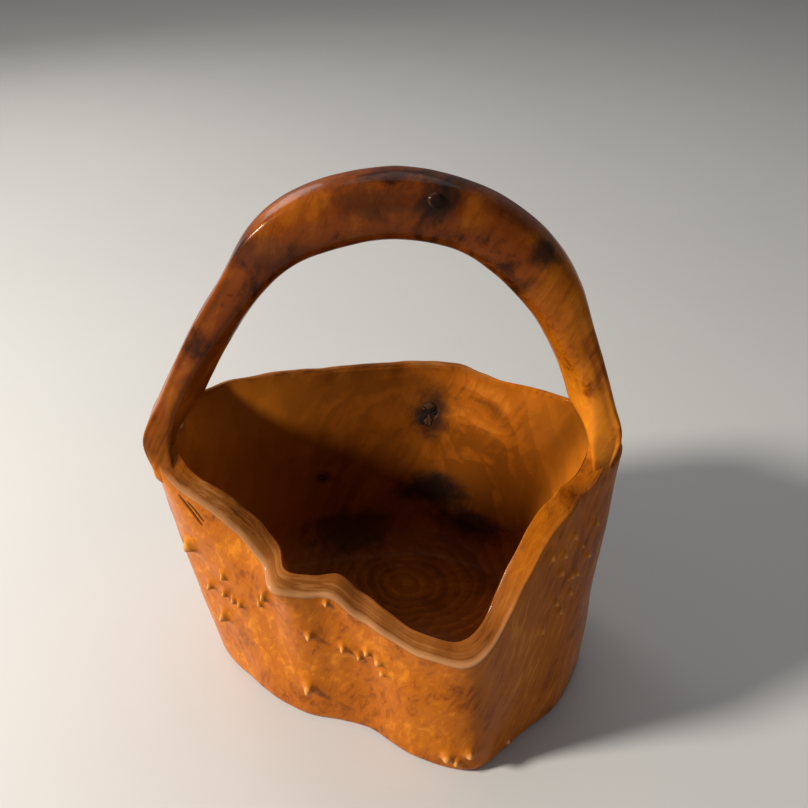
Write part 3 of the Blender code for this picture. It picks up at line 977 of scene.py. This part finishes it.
# Stains inside the bowl and on the handle: middle, stretch, radius, raggedness, strength.
BOWL_STAINS = (
    ((0.028, 0.078, 0.060), (0.75, 0.8, 1.5), 0.026, 1.5, 0.93),
    ((0.062, 0.070, 0.040), (0.6, 0.8, 1.3), 0.020, 1.6, 0.80),
    ((-0.030, 0.070, 0.030), (0.5, 0.8, 1.2), 0.022, 1.8, 0.70),
    ((0.028, 0.093, 0.120), (1.0, 0.6, 0.8), 0.017, 1.0, 0.85),
    ((-0.048, 0.078, 0.076), (1.0, 0.6, 1.0), 0.0070, 0.6, 0.7),
)
HANDLE_STAINS = (
    ((0.079, -0.034, 0.302), (1.0, 0.5, 1.1), 0.012, 1.4, 0.85),
    ((0.025, -0.026, 0.326), (0.8, 0.5, 1.0), 0.011, 0.9, 0.85),
    ((-0.004, -0.026, 0.326), (0.5, 0.5, 1.4), 0.014, 1.9, 0.55),
    ((-0.060, -0.030, 0.300), (0.5, 0.5, 1.2), 0.014, 1.9, 0.45),
)


def blank_material(name):
    """New material, its wiring, its shader and the piece's own coordinates."""
    material = bpy.data.materials.new(name)
    material.use_nodes = True
    w = Wiring(material.node_tree)
    shader = material.node_tree.nodes["Principled BSDF"]
    return material, w, shader, w.node("TexCoord").outputs["Object"]


def wood_colour(w, tone, wood):
    dark, middle, light = wood
    return w.use(TONES, {"Tone": tone, "Dark": dark, "Middle": middle, "Light": light})["Colour"]


def stained(w, place, colour, stains):
    """Colour with dark stains laid over it."""
    for middle, stretch, radius, ragged, strength in stains:
        patch = {"Vector": place, "Middle": middle, "Stretch": stretch, "Radius": radius}
        stain = w.use(PATCH, {**patch, "Ragged": ragged})["Stain"]
        colour = w.mix(w.times(stain, strength), colour, STAINED)
    return colour


def skin_colour(w, figure, grain):
    """Outside: figure, streaks, painted highlight on spike tips, dark pores and drying checks."""
    tone = w.times(figure["Tone"], 0.45)
    tone = w.plus(tone, w.times(grain["Streaks"], 0.50))
    tone = w.minus(tone, w.times(figure["Veins"], 0.06), clamp=True)
    spike = w.mask("spike")
    skin = wood_colour(w, tone, OUTER_WOOD)
    skin = w.mix(w.times(spike, 0.30), skin, SPIKE_WOOD)
    # Painted highlight on the spikes' tips.
    skin = w.mix(w.times(w.span(spike, 0.80, 1.0), 0.35), skin, SPIKE_TIP_HIGHLIGHT)
    skin = w.mix(w.times(grain["Pores"], 0.25), skin, PORE)
    return w.mix(w.mask("check"), skin, CHECK_WOOD)


def hollow_colour(w, place, grain, low):
    """Inside: figure and rings, with painted shade low down and at the back, painted light towards
    both ends, and the blackish stains."""
    across, behind, _ = w.node("SeparateXYZ", {0: place}).outputs
    rings = w.use(
        RINGS,
        {
            "Vector": place,
            "Pith": PITH,
            "Stretch": (0.86, 1.0, 0.22),
            "Spacing": 0.0075,
            "Wander": 0.016,
        },
    )
    figure = w.use(FIGURE, {"Vector": place, "Size": 0.042, "Swirl": 1.8, "Lines": 14.0})
    tone = w.times(figure["Tone"], 0.75)
    tone = w.plus(tone, w.times(grain["Streaks"], 0.22))
    tone = w.minus(tone, w.times(rings["Rings"], 0.30))
    tone = w.minus(tone, w.times(figure["Veins"], 0.14), clamp=True)
    shady = w.times(w.span(behind, 0.030, 0.080), w.span(across, 0.060, 0.010))
    left, right = w.span(across, -0.030, -0.095), w.span(across, 0.070, 0.115)
    hollow = wood_colour(w, tone, INNER_WOOD)
    # Painted shade low down and at the back of the hollow.
    hollow = w.mix(w.times(low, 0.46), hollow, LOW_HOLLOW_PAINTED_SHADE)
    hollow = w.mix(w.times(shady, 0.66), hollow, SHADY_HOLLOW)
    # Painted light towards both ends of the hollow.
    hollow = w.mix(w.times(left, 0.55), hollow, LEFT_HOLLOW_PAINTED_LIGHT)
    hollow = w.mix(w.times(right, 0.55), hollow, RIGHT_HOLLOW_PAINTED_LIGHT)
    return stained(w, place, hollow, BOWL_STAINS)


def rim_colour(w, place, layer_lines, across, skin):
    """Cut rim: fine layers along it and blotches, a painted highlight along its outer edge, and
    skin on the right.
    """
    blotch = w.noise(place, 30.0, 3.0, 0.6)["Fac"]
    lines = w.span(layer_lines, 0.30, 0.70, 0.0, 0.55)
    cut = wood_colour(w, w.plus(lines, w.span(blotch, 0.35, 0.65, 0.0, 0.45)), RIM_WOOD)
    # Painted highlight along the rim's outer edge.
    cut = w.mix(w.times(w.mask("rim_edge"), 0.5), cut, PAINTED_EDGE_HIGHLIGHT)
    return w.mix(w.times(w.span(across, 0.052, 0.080), 0.88), cut, skin)


def handle_colour(w, place, figure, grain, skin):
    """Handle: darker figured wood that turns into the skin down the right leg, brightened there
    with painted light, and at the foot of the left one, with dark stains."""
    across, _, height = w.node("SeparateXYZ", {0: place}).outputs
    bow = w.use(FIGURE, {"Vector": place, "Size": 0.034, "Swirl": 1.6, "Lines": 10.0})
    tone = w.times(bow["Tone"], 0.80)
    tone = w.plus(tone, w.times(grain["Streaks"], 0.25))
    tone = w.minus(tone, w.times(bow["Veins"], 0.12), clamp=True)
    lit = w.times(w.span(across, 0.085, 0.112), w.span(figure["Tone"], 0.30, 0.62))
    left_root = w.times(w.span(across, -0.090, -0.112), w.span(height, 0.235, 0.190))
    handle = wood_colour(w, tone, HANDLE_WOOD)
    # Painted light: the right leg turned towards the skin colour and the lit orange.
    handle = w.mix(w.times(w.span(across, 0.062, 0.098), 0.95), handle, skin)
    handle = w.mix(w.times(lit, 0.45), handle, LIT_HANDLE)
    handle = w.mix(w.times(left_root, 0.40), handle, skin)
    return stained(w, place, handle, HANDLE_STAINS)


def varnished_burl(name):
    """Varnished burl wood. Masks on the mesh say what part of the carving a point is on: the
    skin outside, the hollow, the cut rim or the handle."""
    material, w, shader, place = blank_material(name)
    leg, inside, rim = w.mask("leg"), w.mask("inside"), w.mask("rim")
    across, _, height = w.node("SeparateXYZ", {0: place}).outputs
    low = w.span(height, 0.125, 0.030)
    figure = w.use(FIGURE, {"Vector": place, "Size": 0.050, "Swirl": 1.3, "Lines": 9.0})
    grain = w.use(
        FIBRES, {"Vector": place, "Turn": (0.25, -0.45, 0.0), "Fineness": 210.0, "Length": 9.0}
    )
    layers = w.vector("MULTIPLY", w.attribute("band")["Vector"], (1.0, 0.07, 1.0))
    layer_lines = w.noise(layers, 620.0, 3.0, 0.6, 0.4)["Fac"]

    skin = skin_colour(w, figure, grain)
    colour = w.mix(inside, skin, hollow_colour(w, place, grain, low))
    colour = w.mix(rim, colour, rim_colour(w, place, layer_lines, across, skin))
    colour = w.mix(leg, colour, handle_colour(w, place, figure, grain, skin))

    rubbed = w.plus(w.times(rim, 0.7), w.times(inside, 0.55))
    rubbed = w.plus(rubbed, w.times(w.times(inside, low), 0.5))
    coat = w.use(VARNISH, {"Vector": place, "Gloss": 0.70, "Rubbed": rubbed})
    relief = w.times(coat["Height"], 0.30)
    relief = w.plus(relief, w.times(grain["Streaks"], 0.05))
    relief = w.minus(relief, w.times(grain["Pores"], 0.10))
    relief = w.plus(relief, w.times(w.times(layer_lines, rim), 0.6))
    bumps = w.node("Bump", {"Height": relief, "Strength": 0.35, "Distance": 0.0012})
    gloss = w.plus(w.times(leg, 0.10), 0.085)
    look = {
        "Base Color": colour,
        "Roughness": coat["Roughness"],
        "Normal": bumps.outputs["Normal"],
        "Metallic": 0.0,
        "Coat Weight": w.minus(gloss, w.times(inside, 0.045)),
        "Coat Roughness": 0.11,
        "Specular IOR Level": 0.06,
        "Specular Tint": (1.0, 0.62, 0.30, 1.0),
        "IOR": 1.5,
    }
    w.fill(shader, look)
    return material


def dead_knot_wood(name):
    """Nearly black dead wood: tight rings of brown in black, under the same varnish."""
    material, w, shader, place = blank_material(name)
    figure = w.use(FIGURE, {"Vector": place, "Size": 0.006, "Swirl": 1.4, "Lines": 6.0})
    tone = w.times(figure["Tone"], w.minus(1.0, figure["Veins"]))
    coat = w.use(VARNISH, {"Vector": place, "Gloss": 0.40, "Rubbed": figure["Veins"]})
    relief = w.plus(w.times(coat["Height"], 0.3), figure["Tone"])
    bumps = w.node("Bump", {"Height": relief, "Strength": 0.4, "Distance": 0.0006})
    look = {
        "Base Color": wood_colour(w, tone, KNOT_WOOD),
        "Roughness": coat["Roughness"],
        "Normal": bumps.outputs["Normal"],
        "Metallic": 0.0,
        "Coat Weight": 0.03,
        "Coat Roughness": 0.35,
        "Specular IOR Level": 0.08,
    }
    w.fill(shader, look)
    return material


# ---------------------------------------------------------------- stage
FLOOR_RINGS = (0.3, 1.0, 3.0, 9.0)  # radii
FLOOR_DROP = 0.0003
FLOOR_TONES = (0.56, 0.55, 0.53, 1), (0.61, 0.60, 0.58, 1)


def pale_floor():
    """Wide plain disc just under the basket."""
    angles = np.linspace(0, 2 * np.pi, 96, endpoint=False)
    ring = np.stack((np.cos(angles), np.sin(angles), 0 * angles), 1)
    rows = np.array([ring * radius for radius in FLOOR_RINGS])
    points, faces = tube(rows)
    faces = [f for f in faces if len(points) - 1 not in f]
    floor = linked("floor", mesh_of("floor", points - (0, 0, FLOOR_DROP), faces))
    material, w, shader, place = blank_material("pale_floor")
    cloud = w.noise(place, 2.5, 3.0)["Fac"]
    w.fill(shader, {"Base Color": w.mix(cloud, *FLOOR_TONES), "Roughness": 0.75})
    floor.data.materials.append(material)


# Round lamps that face the basket: name, place, diameter, watts and colour.
LAMPS = (
    ("window", (-1.45, -0.42, 0.95), 0.30, 47.0, (1.0, 0.95, 0.88)),
    ("back_glow", (-0.9, 1.3, 0.9), 0.7, 4.0, (1.0, 0.97, 0.93)),
    ("ceiling", (0.1, 0.9, 1.7), 1.4, 5.0, (0.95, 0.97, 1.0)),
)
ROOM_COLOUR, ROOM_LIGHT = (0.80, 0.81, 0.83, 1), 0.22


def studio():
    middle = Vector((cad_low + cad_high) / 2)
    for name, place, size, power, colour in LAMPS:
        light = bpy.data.lights.new(name, "AREA")
        light.shape = "DISK"
        light.size = size
        light.energy = power
        light.color = colour
        lamp = bpy.data.objects.new(name, light)
        lamp.location = place
        lamp.rotation_euler = (middle - Vector(place)).to_track_quat("-Z", "Y").to_euler()
        bpy.context.scene.collection.objects.link(lamp)
    world = bpy.data.worlds.new("room")
    world.use_nodes = True
    back = world.node_tree.nodes["Background"]
    back.inputs["Color"].default_value = ROOM_COLOUR
    back.inputs["Strength"].default_value = ROOM_LIGHT
    bpy.context.scene.world = world
    bpy.context.scene.view_settings.view_transform = "Standard"


EYE = (0.0099, -0.4049, 0.477)
LOOKING_DOWN = 35.0  # degrees
VIEW_WIDTH = 50.0


def viewpoint():
    """Camera above and in front of the basket, looking down along +Y."""
    lens = bpy.data.cameras.new("viewpoint")
    lens.sensor_width = 36.0
    lens.lens = lens.sensor_width / 2 / math.tan(math.radians(VIEW_WIDTH / 2))
    camera = bpy.data.objects.new("viewpoint", lens)
    camera.location = EYE
    camera.rotation_euler = (math.radians(90.0 - LOOKING_DOWN), 0.0, 0.0)
    bpy.context.scene.collection.objects.link(camera)
    bpy.context.scene.camera = camera


# ---------------------------------------------------------------- the basket
viewpoint()
bowl = grown_piece("carved_bowl", bowl_shell())
handle = grown_piece("carved_handle", arch_shell())
bowl.data.materials.append(varnished_burl("burl_wood"))
handle.data.materials.append(varnished_burl("handle_wood"))
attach(bowl, "root")
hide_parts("bowl")
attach(handle, "root")
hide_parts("handle")

knot_wood = dead_knot_wood("dead_knot")
for number, (node, place, lobes) in enumerate(KNOTS):
    knot = knot_plug(node, place, lobes, 20 + number)
    knot.data.materials.append(knot_wood)
    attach(knot, "root")
    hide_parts(node)

pale_floor()
studio()
